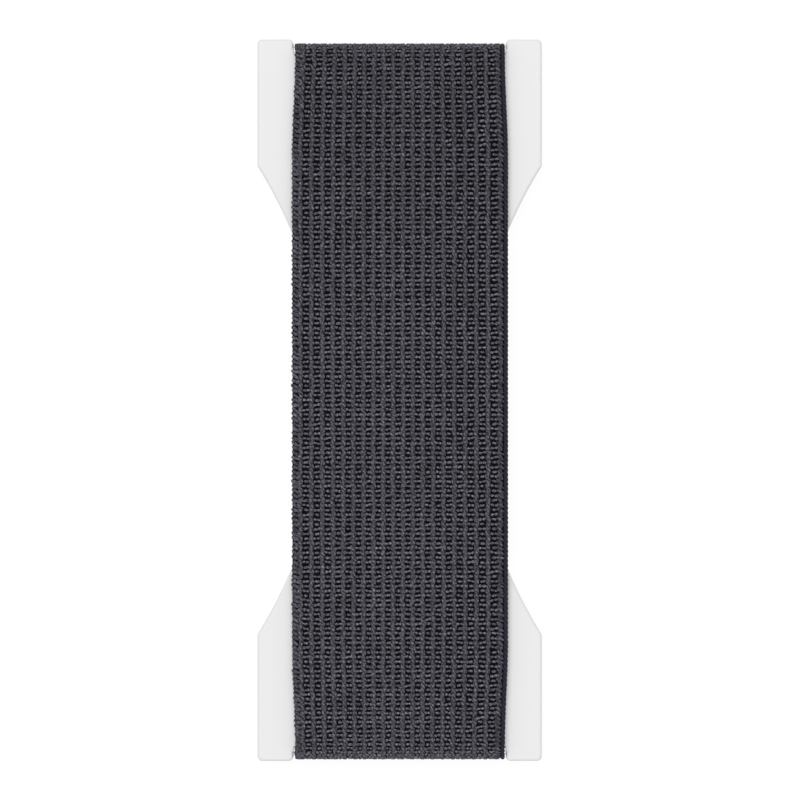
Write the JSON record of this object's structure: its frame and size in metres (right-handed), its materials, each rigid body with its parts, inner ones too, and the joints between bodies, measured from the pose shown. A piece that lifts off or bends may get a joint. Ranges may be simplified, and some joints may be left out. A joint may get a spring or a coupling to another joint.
{
  "type": "phone finger strap",
  "caption": "Stick-on finger strap for a phone: a waisted white plate with notched ends, a ribbed elastic band wrapped over it, and a foam pad beneath.",
  "frame": {"origin": "middle of the underside, on the face of the release liner", "axes": "+X across the band, +Y along the band, +Z out of the face that shows, away from the phone"},
  "size_m": [0.0368, 0.0932, 0.004],
  "materials": {
    "white_plastic": "satin",
    "charcoal_elastic": "matte",
    "foam_pad": "matte",
    "liner_paper": "satin"
  },
  "bodies": {
    "root": {"base_plate": "white_plastic", "elastic_band": "charcoal_elastic", "adhesive_pad": "foam_pad", "release_liner": "liner_paper"}
  },
  "joints": []
}
